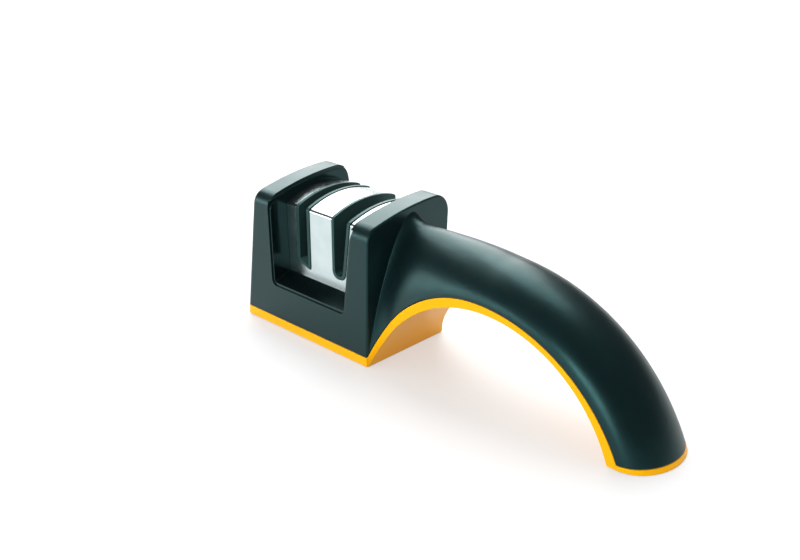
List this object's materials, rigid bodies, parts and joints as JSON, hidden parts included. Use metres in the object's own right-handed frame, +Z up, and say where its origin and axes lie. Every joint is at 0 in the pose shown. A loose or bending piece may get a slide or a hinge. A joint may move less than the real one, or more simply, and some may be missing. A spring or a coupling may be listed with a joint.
{
  "type": "pull through knife sharpener",
  "caption": "Pull-through knife sharpener: a block with upright pillars and blade slots over abrasive wheels, held down by a curved handle arching to a foot.",
  "frame": {"origin": "on the surface the sharpener stands on, under the middle of its head", "axes": "+X from the head along the handle to its foot, a blade is drawn along Y, +Z up; the front of the head faces -Y"},
  "size_m": [0.1774, 0.0411, 0.056],
  "materials": {
    "black_satin": "moulded, satin",
    "amber_gloss": "moulded, semi-gloss",
    "black_gloss": "moulded, polished",
    "bright_chrome": "plated, mirror bright",
    "slot_dark": "moulded, matte",
    "cradle_grey": "moulded, matte",
    "pin_steel": "ground",
    "screw_steel": "zinc plated",
    "coarse_grit": "coarse abrasive",
    "fine_ceramic": "fine abrasive",
    "hub_plastic": "moulded",
    "pad_rubber": "matte"
  },
  "bodies": {
    "housing": {"upper_shell": "black_satin", "lower_shell": "amber_gloss", "inner_frame": "black_gloss", "guide_cover": "bright_chrome", "coarse_slot_liner": "slot_dark", "fine_slot_liner": "slot_dark", "wheel_cradle": "cradle_grey", "coarse_axle": "pin_steel", "coarse_washers": "pin_steel", "fine_axle": "pin_steel", "fine_washers": "pin_steel", "cradle_screws": "screw_steel", "shell_screws": "screw_steel", "foot_screw": "screw_steel", "head_pad": "pad_rubber", "foot_pad": "pad_rubber"},
    "coarse_wheel_set": {"coarse_hub": "hub_plastic", "coarse_wheel_left": "coarse_grit", "coarse_wheel_right": "coarse_grit"},
    "fine_wheel_set": {"fine_hub": "hub_plastic", "fine_wheel_left": "fine_ceramic", "fine_wheel_right": "fine_ceramic"}
  },
  "joints": [
    {"name": "coarse_wheels_spin", "type": "hinge", "parent": "housing", "child": "coarse_wheel_set", "pos_m": [-0.0084, 0.002, 0.0218], "axis": [0.9903, 0.1392, 0], "continuous": true},
    {"name": "fine_wheels_spin", "type": "hinge", "parent": "housing", "child": "fine_wheel_set", "pos_m": [0.0102, 0.002, 0.0218], "axis": [0.9903, 0.1392, 0], "continuous": true}
  ]
}
